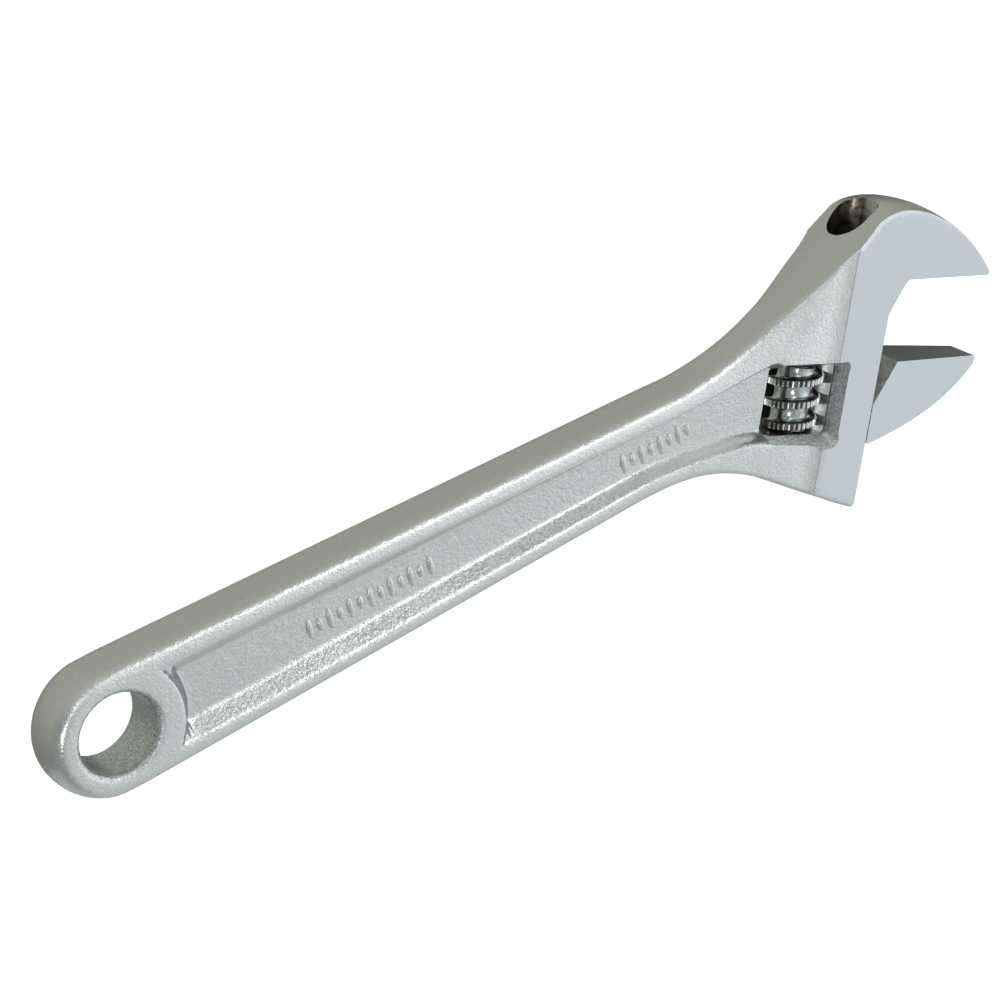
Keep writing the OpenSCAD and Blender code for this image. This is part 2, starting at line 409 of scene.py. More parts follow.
# %% Heights of the handle, cheek, band and jaw
BAND_P = (-10.95, -11.5)     # the band's left edge above and below the window
RIM_SOFT = 0.5               # how far the recess walls' corners are rounded
CHEEK = ([-240, -40, -26, -11.5], [HANDLE_H, HANDLE_H, 5.55, 6.5])   # half thickness by p
LIP_RISE, LIP_WIDE = 0.65, 3     # the skin's last rise beside the band
BOW_FALL, BOW_WIDE = 0.95, 3.6   # how far the neck's face falls along its upper edge
neck_rows = [i for i in range(len(face_ring))
             if 95 < face_ring[i, 0] < 157 and face_ring[i, 1] > 0]
neck_rows.sort(key=lambda i: face_ring[i, 0])


def polished_height(p):
    """Half thickness of the band and jaw, which thin evenly towards the tips."""
    return np.minimum(6.12 - 0.1106 * p, 7.31)


def band_edge(q):
    """Where the band's left edge lies."""
    return np.interp(q, [-30, -16], [BAND_P[1], BAND_P[0]])


def body_height(xy):
    """Half thickness of the body at each place: forged skin, recess and ground band."""
    p, q = to_head(xy).T
    edge = band_edge(q)
    skin = np.interp(p, *CHEEK)
    skin += LIP_RISE * (np.clip(p - edge + LIP_WIDE, 0, LIP_WIDE) / LIP_WIDE) ** 2
    span = np.clip((xy[:, 0] - 112) / 22, 0, 1) * np.clip((153 - xy[:, 0]) / 12, 0, 1)
    bow = BOW_FALL * span * span * (3 - 2 * span)
    top_edge = np.interp(xy[:, 0], face_ring[neck_rows, 0], face_ring[neck_rows, 1])
    skin -= bow * np.exp(-(np.clip(top_edge - xy[:, 1], 0, 50) / BOW_WIDE) ** 2)
    at_rim, at_floor = depth_inside(xy, recess_rim), depth_inside(xy, recess_floor)
    wide = np.maximum(at_rim - at_floor, 0.4)
    soft = np.minimum(RIM_SOFT, wide * 0.45)
    fall = (rounded_ramp(at_rim, soft) - rounded_ramp(at_rim - wide, soft)) / wide
    skin += (FLOOR_H - skin) * np.clip(fall, 0, 1)
    return np.where(p > edge - 0.01, polished_height(p), skin)


# %% [markdown]
# ## The window for the knurl
# The window is cut straight through at mid thickness and opens out towards both faces. On the
# handle's side it meets the floor of the recess, which lies below the flare, so that side stays
# upright. The opening on the face therefore depends on the height there, and a few rounds of
# moving each point out by its flare and asking for the height again settle it.

# %% Window outline at mid thickness and on the face
WINDOW_P, WINDOW_Q = (-22.8, -9.0), (-28.9, -15.9)
FLARE_FROM = 4.2             # height where the walls start to open out
LEAST_FLARE = 0.12           # the least that a wall opens


def box_outline(p, q, radii):
    """A rectangle in the head with rounded corners, from its lower left corner on."""
    out = []
    corners = ((p[0], q[0], 1, 1, 180), (p[1], q[0], -1, 1, 270),
               (p[1], q[1], -1, -1, 0), (p[0], q[1], 1, -1, 90))
    for (cp, cq, sp, sq, start), r in zip(corners, radii):
        out.append(arc((cp + sp * r, cq + sq * r), r, start, start + 90, 6))
    return np.vstack(out)


window_mid = respace(box_outline(WINDOW_P, WINDOW_Q, (0.7, 0.7, 0.5, 1.8)), 0.6)
normal = outward(window_mid)
flare_rate = (np.clip(normal[:, 0], 0, 1) * 0.33 + np.clip(-normal[:, 0], 0, 1) * 0.25
              + np.clip(normal[:, 1], 0, 1) * 0.36 + np.clip(-normal[:, 1], 0, 1) * 0.62)
flare = np.full(len(window_mid), LEAST_FLARE)
for _ in range(12):
    here = body_height(from_head(window_mid + normal * (flare[:, None] + 0.25)))
    flare = 0.5 * flare + 0.5 * (LEAST_FLARE + np.clip(here - FLARE_FROM, 0, 9) * flare_rate)
window_face = from_head(window_mid + normal * flare[:, None])
window_mid = from_head(window_mid)


def window_edge(i, t, top):
    """Upright to where the flare starts, then straight out to the face."""
    start = min(FLARE_FROM, top - 0.15)
    return [(0, 0), (0, start * 0.5), (0, start), (0.5, (start + top) / 2), (1, top)]


hang_mid = arc((0, 0), HANG_R, 0, 360, 96)[:-1]
hang_face = arc((0, 0), HANG_R + HANG_ROUND, 0, 360, 96)[:-1]


def hang_edge(i, t, top):
    """The hang hole's wall, with a worn round at its rim."""
    return rounded_edge(HANG_ROUND, HANG_ROUND, top, 6, drop=1.3)


# %% Lines the body's face bends along, then the body itself
lines = []
for ring in (recess_rim, recess_floor):
    side = outward(ring)
    for shift in (-0.55, -0.28, 0, 0.28, 0.55):
        moved = respace(ring + side * shift, 0.8)
        lines.append(np.vstack([moved, moved[:1]]))
q_steps = np.arange(-44, 14, 0.4)
for back in (0, 0.03, 0.5, 1.0, 1.5, 2.0, 2.5, 3.05):
    lines.append(from_head(np.column_stack([band_edge(q_steps) - back, q_steps])))
body = plate("wrench_body",
             [(face_ring, mid_ring, body_edge), (hang_face, hang_mid, hang_edge),
              (window_face, window_mid, window_edge)],
             lines, body_height, 1.1)

# %% [markdown]
# ## The round channel, its slot and the pin's hole
# These are machined after forging, so they are true cuts: a round channel for the jaw's shank
# right through the head, a slot that lets the jaw's web out at the front, and a hole from the
# heel for the knurl's pin. Exact Booleans suit them, because they cross the crowned edges.

# %% Cutters in the head's axes
CHANNEL_P, CHANNEL_R = -7.5, 4.2
SLOT_HALF = 1.95             # half the width of the slot for the jaw's web
HEEL_HOLE_R, PIN_HOLE_R = 2.3, 1.53   # the pin's hole, wide in the heel and close beyond it
THROUGH_Q = (-70, 40)        # clear of the head at both ends


def place_in_head(p, q, z):
    """Head coordinates with a height as points in the frame."""
    p, q, z = np.broadcast_arrays(p, q, z)
    return np.column_stack([from_head(np.stack([p, q], -1).reshape(-1, 2)), z.ravel()])


def turned(name, p, stations_q_r, count=96):
    """A body of revolution about an axis along q at p."""
    a = np.linspace(0, 2 * math.pi, count, endpoint=False)
    rows = [place_in_head(p + r * np.cos(a), q, -r * np.sin(a)) for q, r in stations_q_r]
    faces = [tuple(range(count)), tuple(range((len(rows) - 1) * count, len(rows) * count))[::-1]]
    for k in range(len(rows) - 1):
        faces += [(k * count + i, k * count + (i + 1) % count,
                   (k + 1) * count + (i + 1) % count, (k + 1) * count + i) for i in range(count)]
    return solid_from(name, np.vstack(rows), faces)


def bar(name, p, q, z):
    """A straight-sided block between two values of p, q and z."""
    corners = [place_in_head(p[i], q[j], z[k])[0] for i in (0, 1) for j in (0, 1) for k in (0, 1)]
    return solid_from(name, corners, [(0, 1, 3, 2), (4, 6, 7, 5), (0, 4, 5, 1), (2, 3, 7, 6),
                                      (0, 2, 6, 4), (1, 5, 7, 3)])


def bake(piece):
    """Turn the piece's modifiers into plain mesh."""
    graph = bpy.context.evaluated_depsgraph_get()
    mesh = bpy.data.meshes.new_from_object(piece.evaluated_get(graph))
    piece.modifiers.clear()
    piece.data = mesh


def combine(piece, other, how):
    """Join or cut with another solid, which is then thrown away."""
    step = piece.modifiers.new("combine", "BOOLEAN")
    step.operation, step.solver, step.object = how, "EXACT", other
    bake(piece)
    bpy.data.objects.remove(other)


slot = (-SLOT_HALF, SLOT_HALF)
for cutter in (
        turned("channel", CHANNEL_P, [(q, CHANNEL_R) for q in THROUGH_Q]),
        bar("back slot", (CHANNEL_P, -3.2), THROUGH_Q, slot),
        bar("front slot", (CHANNEL_P, 8), (THROUGH_Q[0], -6.2), slot),
        turned("pin hole", KNURL_P, [(THROUGH_Q[0], HEEL_HOLE_R), (-36.58, HEEL_HOLE_R),
                                     (-36.57, PIN_HOLE_R), (-12.3, PIN_HOLE_R)], 48)):
    combine(body, cutter, "DIFFERENCE")
tidy_normals(body)
print("body faces after machining:", len(body.data.polygons))

# %% [markdown]
# ## The sliding jaw
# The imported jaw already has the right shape: hook, web and toothed shank. What it lacks is the
# broken edge that every ground part has, and without it no edge catches the light. So a copy is
# merged, its flat faces are joined, and a Bevel modifier breaks the sharp edges.

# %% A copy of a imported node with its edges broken


def refined(node, name, width):
    """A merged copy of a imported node, with its sharp edges broken over a width."""
    piece = frame["nodes"][node].copy()
    piece.data = frame["nodes"][node].data.copy()
    piece.name = name
    piece.data.name = name
    piece.parent = None
    for key in list(piece.keys()):
        del piece[key]
    bpy.context.scene.collection.objects.link(piece)
    work = bmesh.new()
    work.from_mesh(piece.data)
    bmesh.ops.remove_doubles(work, verts=work.verts, dist=0.002 * MM)
    bmesh.ops.dissolve_limit(work, angle_limit=math.radians(1), verts=work.verts,
                             edges=work.edges)
    bmesh.ops.recalc_face_normals(work, faces=work.faces)
    work.to_mesh(piece.data)
    work.free()
    piece.data.materials.clear()
    step = piece.modifiers.new("broken edges", "BEVEL")
    step.width, step.segments, step.limit_method = width * MM, 2, "ANGLE"
    step.angle_limit = math.radians(32)
    step.use_clamp_overlap = True
    bake(piece)
    print(name, "has", len(piece.data.polygons), "faces")
    return piece


jaw = refined("sliding_jaw", "hook_jaw", 0.14)
pin = refined("knurl_pin", "knurl_axle", 0.15)

# %% [markdown]
# ## The knurl
# The knurl is a worm: a sleeve with one right-hand thread of the rack's own pitch. It is swept
# here as a strip that follows the helix, so that its mesh edges run along the crest, and both
# ends are then cut flat. A hole for the pin and a seat for the spring are bored out of it.

# %% Thread as a strip along its helix
LEAD, ROOT_R = 4.0, 3.35
KNURL_Q = (-28.6, -16.9)
CREST_Q = -18.1              # a crest of the thread, where it faces the rack
COLUMNS = 96                 # steps in one turn
BORE_R, SEAT_R = 1.57, 2.65  # the hole for the pin and the seat for the spring
flank = [(2, ROOT_R), (1.35, ROOT_R + 0.02), (1.08, ROOT_R + 0.1), (0.9, ROOT_R + 0.26),
         (0.76, ROOT_R + 0.55), (0.58, 4.66)]
section = [(-s, r) for s, r in flank] + flank[::-1]


def helix_points(turns, along, radius):
    """Points at a distance along q from the thread's crest, after some turns of it."""
    a = 2 * math.pi * np.asarray(turns, float)
    return place_in_head(KNURL_P + radius * np.cos(a), CREST_Q + LEAD * turns + along,
                         -radius * np.sin(a))


turns = np.arange(-4.5 * COLUMNS, 2.5 * COLUMNS + 1) / COLUMNS
strip = np.stack([helix_points(turns, s, r) for s, r in section], 1)
wide = len(section)
ends = [place_in_head(KNURL_P, q, 0)[0] for q in (CREST_Q - 24, CREST_Q + 16)]
print("thread strip:", strip.shape)
faces = [(a, a + 1, a + wide + 1, a + wide) for row in range(len(turns) - 1)
         for a in range(row * wide, row * wide + wide - 1)]
sleeve = solid_from("knurl_sleeve", strip.reshape(-1, 3), faces)
work = bmesh.new()
work.from_mesh(sleeve.data)
centres = [work.verts.new(Vector(p) * MM) for p in ends]
for edge in [e for e in work.edges if len(e.link_faces) == 1]:
    middle = (edge.verts[0].co + edge.verts[1].co) / 2
    near = min(centres, key=lambda v: (v.co - middle).length)
    work.faces.new((*edge.verts, near))
bmesh.ops.recalc_face_normals(work, faces=work.faces)
work.to_mesh(sleeve.data)
work.free()
combine(sleeve, turned("between the ends", KNURL_P, [(KNURL_Q[0], 4.75), (KNURL_Q[0] + 0.3, 6),
                                                     (KNURL_Q[1] - 0.3, 6), (KNURL_Q[1], 4.75)]),
        "INTERSECT")
bore = turned("bore", KNURL_P, [(-35, BORE_R), (KNURL_Q[1] - 1.6, BORE_R),
                                (KNURL_Q[1] - 1.59, SEAT_R), (-10, SEAT_R)], 48)
combine(sleeve, bore, "DIFFERENCE")
tidy_normals(sleeve)

# %% [markdown]
# ## Geometry Nodes for what repeats
# The knurl's crest carries rows of small teeth for the thumb, the spring is one wire wound round
# a line, and the marks in the recess are rows of equal bars. Each follows a rule, so each is a
# node tree with its sizes as named inputs. The helper below sets a tree's inputs before it is
# first worked out, then bakes the result.

# %% Helpers for node trees


def tree_with(name, inputs):
    """A new geometry node tree with float, integer or material inputs."""
    tree = bpy.data.node_groups.new(name, "GeometryNodeTree")
    kinds = {float: "NodeSocketFloat", int: "NodeSocketInt", str: "NodeSocketMaterial"}
    for label, kind in inputs.items():
        tree.interface.new_socket(label, in_out="INPUT", socket_type=kinds[kind])
    tree.interface.new_socket("Geometry", in_out="OUTPUT", socket_type="NodeSocketGeometry")
    return tree, tree.nodes.new("NodeGroupInput").outputs


def node(tree, kind, links=(), **values):
    """A node whose sockets are linked or set from links; values set the node itself."""
    made = tree.nodes.new(kind)
    for key, value in values.items():
        setattr(made, key, value)
    for socket, source in dict(links).items():
        target = made.inputs[socket]
        if isinstance(source, bpy.types.NodeSocket):
            tree.links.new(source, target)
        else:
            target.default_value = source
    return made


def maths(tree, how, a, b):
    """One Math node."""
    return node(tree, "ShaderNodeMath", {0: a, 1: b}, operation=how).outputs[0]


def hand_out(tree, given, geometry):
    """End a tree: real geometry in the tree's material."""
    real = node(tree, "GeometryNodeRealizeInstances", {0: geometry})
    coat = node(tree, "GeometryNodeSetMaterial", {"Geometry": real.outputs[0],
                                                  "Material": given["Material"]})
    node(tree, "NodeGroupOutput", {"Geometry": coat.outputs[0]})


def grow(name, tree, values):
    """The mesh that a tree makes with these values for its inputs."""
    piece = bpy.data.objects.new(name, bpy.data.meshes.new(name))
    bpy.context.scene.collection.objects.link(piece)
    step = piece.modifiers.new("grow", "NODES")
    step.node_group = tree
    for item in tree.interface.items_tree:
        if item.in_out == "INPUT":
            step[item.identifier] = values[item.name]
    bake(piece)
    print(name, "has", len(piece.data.polygons), "faces")
    return piece


# %% [markdown]
# ### Teeth along the thread's crest
# A spiral runs along the crest, points are spread evenly on it, and one small tooth is set on
# each point, turned so that it stands square to the sleeve. On a real knurl a wheel rolls them
# in; here a tooth is a low block with a narrowed top.

# %% Tree for the crest's teeth
tree, given = tree_with("crest teeth", {
    "Turns": float, "Lead": float, "Radius": float, "Teeth": int, "Tooth width": float,
    "Tooth length": float, "Tooth height": float, "Material": str})
NARROWED = 0.55              # the share of its width that a tooth loses at the top
height = maths(tree, "MULTIPLY", given["Turns"], given["Lead"])
spiral = node(tree, "GeometryNodeCurveSpiral", {
    "Resolution": 96, "Rotations": given["Turns"], "Start Radius": given["Radius"],
    "End Radius": given["Radius"], "Height": height, "Reverse": True})
spots = node(tree, "GeometryNodeCurveToPoints", {"Curve": spiral.outputs[0],
                                                 "Count": given["Teeth"]}, mode="COUNT")
size = node(tree, "ShaderNodeCombineXYZ", {"X": given["Tooth height"], "Y": given["Tooth width"],
                                           "Z": given["Tooth length"]})
block = node(tree, "GeometryNodeMeshCube", {"Size": size.outputs[0], "Vertices X": 2,
                                            "Vertices Y": 3, "Vertices Z": 4})
place = node(tree, "GeometryNodeInputPosition")
apart = node(tree, "ShaderNodeSeparateXYZ", {0: place.outputs[0]})
out = maths(tree, "GREATER_THAN", apart.outputs["X"], 0.0)
narrow = maths(tree, "SUBTRACT", 1.0, maths(tree, "MULTIPLY", out, NARROWED))
shrink = node(tree, "ShaderNodeCombineXYZ", {"X": 1.0, "Y": narrow, "Z": 1.0})
shaped = node(tree, "ShaderNodeVectorMath", {0: place.outputs[0], 1: shrink.outputs[0]},
              operation="MULTIPLY")
tooth = node(tree, "GeometryNodeSetPosition", {"Geometry": block.outputs["Mesh"],
                                               "Position": shaped.outputs[0]})
rise = node(tree, "GeometryNodeInputPosition")
flat_spot = node(tree, "ShaderNodeVectorMath", {0: rise.outputs[0], 1: (1, 1, 0)},
                 operation="MULTIPLY")
facing = node(tree, "FunctionNodeAlignRotationToVector", {"Vector": flat_spot.outputs[0]},
              axis="X", pivot_axis="Z")
row = node(tree, "GeometryNodeInstanceOnPoints", {
    "Points": spots.outputs[0], "Instance": tooth.outputs[0], "Rotation": facing.outputs[0]})
hand_out(tree, given, row.outputs[0])
print("crest tree has", len(tree.nodes), "nodes")

# %% Tree for a coil spring
spring_tree, given = tree_with("coil spring", {
    "Turns": float, "Coil radius": float, "Wire radius": float, "Height": float, "Material": str})
spiral = node(spring_tree, "GeometryNodeCurveSpiral", {
    "Resolution": 48, "Rotations": given["Turns"], "Start Radius": given["Coil radius"],
    "End Radius": given["Coil radius"], "Height": given["Height"], "Reverse": True})
wire = node(spring_tree, "GeometryNodeCurvePrimitiveCircle", {"Resolution": 14,
                                                              "Radius": given["Wire radius"]})
drawn = node(spring_tree, "GeometryNodeCurveToMesh", {
    "Curve": spiral.outputs[0], "Profile Curve": wire.outputs[0], "Fill Caps": True})
hand_out(spring_tree, given, drawn.outputs[0])

# %% [markdown]
# ### Raised marks in the recess
# Such a tool has its size raised in the recess. Lettering is left off here, and plain bars with
# soft sides stand in its place, every other one shorter, as on a tally. A bar is a stretched
# ball sunk to its middle in the recess floor, which gives the soft shoulders of a forged mark.

# %% Tree for a row of bars
mark_tree, given = tree_with("row of bars", {
    "Count": int, "Pitch": float, "Width": float, "Length": float, "Height": float,
    "Short share": float, "Material": str})
step = node(mark_tree, "ShaderNodeCombineXYZ", {"X": given["Pitch"]})
spots = node(mark_tree, "GeometryNodeMeshLine", {"Count": given["Count"],
                                                 "Offset": step.outputs[0]}, mode="OFFSET")
ball = node(mark_tree, "GeometryNodeMeshUVSphere", {"Segments": 20, "Rings": 10, "Radius": 0.5})
number = node(mark_tree, "GeometryNodeInputIndex")
odd = maths(mark_tree, "MODULO", number.outputs[0], 2.0)
less = maths(mark_tree, "MULTIPLY", odd, maths(mark_tree, "SUBTRACT", 1.0, given["Short share"]))
long = maths(mark_tree, "MULTIPLY", given["Length"], maths(mark_tree, "SUBTRACT", 1.0, less))
size = node(mark_tree, "ShaderNodeCombineXYZ", {
    "X": given["Width"], "Y": long, "Z": maths(mark_tree, "MULTIPLY", given["Height"], 2.0)})
row = node(mark_tree, "GeometryNodeInstanceOnPoints", {
    "Points": spots.outputs[0], "Instance": ball.outputs[0], "Scale": size.outputs[0]})
hand_out(mark_tree, given, row.outputs[0])

# %% [markdown]
# ## Finishes
# All the plating is bright chrome, and what differs is the skin under it. The forged skin keeps
# a fine orange peel that breaks highlights into specks. The band and jaws were ground flat
# before plating, so they mirror. Walls that only the die or the broach has touched are coarser
# still. Each finish is one metal shader whose bump and roughness come from noise in object
# coordinates, at the real size of the grain. Some copies of the skin differ only in colour, as
# painted light and shade: the flat faces are lighter and dimmed along the handle, and the recess
# floor, its end corner and the knurl's crest under its teeth are darker.

# %% A metal finish


def noise(tree, place, size, detail):
    """Noise of a size in mm at a place."""
    return node(tree, "ShaderNodeTexNoise", {
        "Vector": place, "Scale": 1 / (size * MM), "Detail": detail}).outputs["Fac"]


def ramp_between(tree, value, start, end, low=0.0, high=1.0, ease="SMOOTHSTEP"):
    """low at start and high at end."""
    return node(tree, "ShaderNodeMapRange", {
        "Value": value, "From Min": start, "From Max": end, "To Min": low, "To Max": high},
        interpolation_type=ease).outputs[0]


def blend_of(tree, share, first, second):
    """Mix two colours or sockets by a share."""
    made = node(tree, "ShaderNodeMix", {"Factor": share}, data_type="RGBA")
    for socket, source in (("A", first), ("B", second)):
        if isinstance(source, bpy.types.NodeSocket):
            tree.links.new(source, made.inputs[socket])
        else:
            made.inputs[socket].default_value = (*source, 1)
    return made.outputs["Result"]


PATCH_SIZE = 9               # mm, the patches in which the roughness varies


def metal(name, colour, roughness, grains, spread=0.06, dark=None, stain=(1.4, 0.42, 0.62),
          shade_along_x=None):
    """A metal whose skin has grains given as (size in mm, depth in mm).
    spread varies the roughness, and dark gives a second colour for its hollows, in patches
    whose size in mm and whose start and end in the noise are in stain. The last argument paints
    shade: it darkens the colour up to a place along the handle: (x where the shade starts to
    clear, x where it is clear, share)."""
    material = bpy.data.materials.new(name)
    material.use_nodes = True
    tree = material.node_tree
    shader = tree.nodes["Principled BSDF"]
    shader.inputs["Metallic"].default_value = 1.0
    shader.inputs["Base Color"].default_value = (*colour, 1)
    coordinates = node(tree, "ShaderNodeTexCoord").outputs["Object"]
    skin = shader.inputs["Normal"]
    for size, depth in reversed(grains):
        bump = node(tree, "ShaderNodeBump", {"Height": noise(tree, coordinates, size, 2.0),
                                             "Strength": 1.0, "Distance": depth * MM})
        tree.links.new(bump.outputs[0], skin)
        skin = bump.inputs["Normal"]
    rough = ramp_between(tree, noise(tree, coordinates, PATCH_SIZE, 4.0), 0.3, 0.7,
                         roughness - spread, roughness + spread, "LINEAR")
    tree.links.new(rough, shader.inputs["Roughness"])
    if dark:
        size, start, end = stain
        hollow = ramp_between(tree, noise(tree, coordinates, size, 4.0), start, end,
                              ease="LINEAR")
        shade = blend_of(tree, hollow, colour, dark)
        # Painted shade: the colour is darkened up to a place along the handle.
        if shade_along_x:
            start, end, share = shade_along_x
            place = node(tree, "ShaderNodeSeparateXYZ", {0: coordinates})
            painted_dimming = ramp_between(tree, place.outputs["X"], start * MM, end * MM, share)
            shade = node(tree, "ShaderNodeVectorMath", {0: shade, "Scale": painted_dimming},
                         operation="SCALE").outputs[0]
        tree.links.new(shade, shader.inputs["Base Color"])
    return material


forged = metal("forged_chrome", (0.80, 0.81, 0.785), 0.32, [(1.2, 0.075), (0.4, 0.06)],
               dark=(0.735, 0.75, 0.73), stain=(0.36, 0.42, 0.62))
# A lighter copy of the forged skin for the flat faces, as painted light, painted darker along the
# handle as shade.
lit_face_skin = metal("forged_face_lit", (0.99, 0.995, 0.99), 0.3, [(1.0, 0.08), (0.42, 0.095)],
                  dark=(0.87, 0.885, 0.88), stain=(0.42, 0.42, 0.62), shade_along_x=(128, 152, 0.86))
# A darker copy of the forged skin for the recess floor, as painted shade.
shaded_floor_skin = metal("recess_floor", (0.78, 0.79, 0.785), 0.3, [(1.0, 0.1), (0.42, 0.11)],
                   dark=(0.68, 0.695, 0.69), stain=(0.42, 0.42, 0.62))
# A near-black copy of the skin, painted as shade on the recess's end wall.
corner_shade = metal("painted_corner_shade", (0.36, 0.39, 0.39), 0.36, [(0.6, 0.05)],
               dark=(0.22, 0.25, 0.25), stain=(0.8, 0.42, 0.62))
coarse = metal("coarse_chrome", (0.93, 0.95, 0.93), 0.28, [(0.8, 0.07), (0.34, 0.055)],
               dark=(0.60, 0.63, 0.62), stain=(0.4, 0.48, 0.62))
wall = metal("window_and_hole_walls", (0.80, 0.84, 0.83), 0.34, [(0.6, 0.10), (0.28, 0.07)],
             dark=(0.48, 0.53, 0.53), stain=(0.36, 0.42, 0.62))
polished = metal("polished_chrome", (0.73, 0.765, 0.785), 0.1, [(2.5, 0.0015)], 0.03)
# Bare machined steel in the channel and pin hole; on the window's deep upright walls it is
# painted shade.
bore_steel_and_shade = metal("machined_bore_and_shade", (0.42, 0.38, 0.33), 0.28, [(0.5, 0.02)], 0.08,
                  dark=(0.16, 0.11, 0.08))
worm_plate = metal("worm_plate", (0.74, 0.79, 0.80), 0.22, [(0.7, 0.03)], 0.05,
                   dark=(0.42, 0.45, 0.44), stain=(1.8, 0.42, 0.60))
worm_teeth = metal("worm_teeth", (0.92, 0.94, 0.94), 0.3, [(0.3, 0.03)], 0.05)
# Near black, painted as the shade between the crest's teeth.
crest_shade = metal("painted_crest_shade", (0.10, 0.105, 0.10), 0.35, [(0.5, 0.03)], 0.08)
rough_steel = metal("ground_web", (0.86, 0.88, 0.86), 0.45, [(0.7, 0.05)],
                    dark=(0.55, 0.58, 0.56), stain=(0.8, 0.42, 0.62))
turned_steel = metal("turned_steel", (0.5, 0.5, 0.51), 0.3, [(0.4, 0.008)], 0.06)
spring_wire = metal("spring_wire", (0.42, 0.42, 0.44), 0.25, [(0.5, 0.006)], 0.05)

# %% [markdown]
# ## Which faces take which finish
# The finishes meet at real edges, so each face is given its finish from where it lies and which
# way it looks: the band and jaw faces are ground, the channel is bare steel, the window's deep
# upright walls take the same dark finish as painted shade, and the walls of the recess, window
# and hang hole keep the coarse skin.

# %% Sort the body's faces
FORGED, COARSE, POLISHED, BORED_AND_SHADED, WALL, FACE_LIT, FLOOR_SHADED, CORNER_SHADE = range(8)
for skin in (forged, coarse, polished, bore_steel_and_shade, wall, lit_face_skin, shaded_floor_skin, corner_shade):
    body.data.materials.append(skin)
count = len(body.data.polygons)
centre, normal = np.zeros(count * 3), np.zeros(count * 3)
body.data.polygons.foreach_get("center", centre)
body.data.polygons.foreach_get("normal", normal)
centre, normal = centre.reshape(-1, 3) / MM, normal.reshape(-1, 3)
x, y, z = centre.T
p, q = to_head(centre).T
z, lies = np.abs(z), np.abs(normal[:, 2])    # height and how flat a face lies
upright = lies < 0.5
from_hang = np.hypot(x, y)
# Flat faces take the lighter copy of the skin, as painted light.
finish = np.where(lies > 0.85, FACE_LIT, FORGED)
low_side = np.flatnonzero(~upright & (y < -2) & (p < -9) & (lies < 0.99))
on_wall = ((depth_inside(centre[low_side, :2], recess_rim) > -0.2)
           & (depth_inside(centre[low_side, :2], recess_floor) < 0.2))
finish[low_side[on_wall]] = COARSE
# The recess floor takes the darker copy, as painted shade.
finish[(z < FLOOR_H + 0.1) & (lies > 0.98)] = FLOOR_SHADED
# The recess's end wall is painted dark, as shade.
end_wall = ((from_hang > RIM_END_R - 0.1) & (x > 9) & (x < 14) & (z > FLOOR_H + 0.1)
            & (z < HANDLE_H - 0.05) & (normal[:, 0] > 0.3))
finish[end_wall] = CORNER_SHADE
near_window = ((p > WINDOW_P[0] - 0.4) & (p < WINDOW_P[1] + 1.4) & (q > WINDOW_Q[0] - 1.8)
               & (q < WINDOW_Q[1] + 1.4))
finish[near_window & (lies < 0.8)] = WALL
# The window's deep upright walls take the dark bore finish, as painted shade.
finish[near_window & (lies < 0.1) & (z < FLARE_FROM)] = BORED_AND_SHADED
finish[(from_hang < HANG_R + HANG_ROUND) & (lies < 0.97)] = WALL
ground = (p > band_edge(q) - 0.02) & (z > polished_height(p) - 0.03) & ~upright
finish[ground | (upright & (p > -0.3) & (q < 0.6))] = POLISHED
slotted = (z < SLOT_HALF + 0.01) & (lies > 0.98) & (p > CHANNEL_P)
finish[(np.hypot(p - CHANNEL_P, z) < CHANNEL_R + 0.01) | slotted] = BORED_AND_SHADED
body.data.polygons.foreach_set("material_index", finish.astype(np.int32))
print("faces by finish:", np.bincount(finish, minlength=8))

# %% Smooth shading with crisp real edges


def shade(piece, angle):
    """Smooth shading that breaks only where faces meet at more than the angle."""
    piece.data.shade_smooth()
    piece.data.set_sharp_from_angle(angle=math.radians(angle))
    piece.data.update()


shade(body, 26)
for piece, angle, skin in ((jaw, 24, polished), (pin, 30, turned_steel),
                           (sleeve, 24, worm_plate)):
    piece.data.materials.clear()
    piece.data.materials.append(skin)
    shade(piece, angle)
# The crest and upper flanks, seen between the teeth, are painted near black as shade.
sleeve.data.materials.append(crest_shade)
for face in sleeve.data.polygons:
    p, _ = to_head(np.array(face.center) / MM)
    if np.hypot(p - KNURL_P, face.center.z / MM) > ROOT_R + 0.45:
        face.material_index = 1
jaw.data.materials.append(rough_steel)
for face in jaw.data.polygons:
    p, _ = to_head(np.array(face.center) / MM)
    across = np.array(face.normal)[:2] @ p_axis
    if across < -0.5 or (p < 0.1 and abs(face.normal.z) < 0.5):
        face.material_index = 1

# %% Teeth, spring and marks, each set in its place


def set_in_head(piece, p, q, angle=0.0):
    """Move a mesh drawn about +Z so that it stands along q, turned by an angle about it."""
    axes = np.eye(4)
    axes[:3, 0], axes[:3, 1], axes[:3, 2] = (*p_axis, 0), (0, 0, -1), (*q_axis, 0)
    axes[:3, 3] = np.append(from_head([p, q]), 0) * MM
    turn = np.eye(4)
    turn[:2, :2] = [[math.cos(angle), -math.sin(angle)], [math.sin(angle), math.cos(angle)]]
    points = np.array([v.co for v in piece.data.vertices])
    points = np.column_stack([points, np.ones(len(points))]) @ (axes @ turn).T
    piece.data.vertices.foreach_set("co", points[:, :3].astype(np.float32).ravel())
    piece.data.update()


TEETH_FROM, TEETH_TO = -2.48, 0.16   # turns of the thread that carry teeth
teeth = grow("crest_teeth", tree, {
    "Turns": TEETH_TO - TEETH_FROM, "Lead": LEAD * MM, "Radius": 4.81 * MM, "Teeth": 85,
    "Tooth width": 0.52 * MM, "Tooth length": 1.06 * MM, "Tooth height": 0.44 * MM,
    "Material": worm_teeth})
set_in_head(teeth, KNURL_P, CREST_Q + LEAD * TEETH_FROM, 2 * math.pi * TEETH_FROM)
shade(teeth, 30)

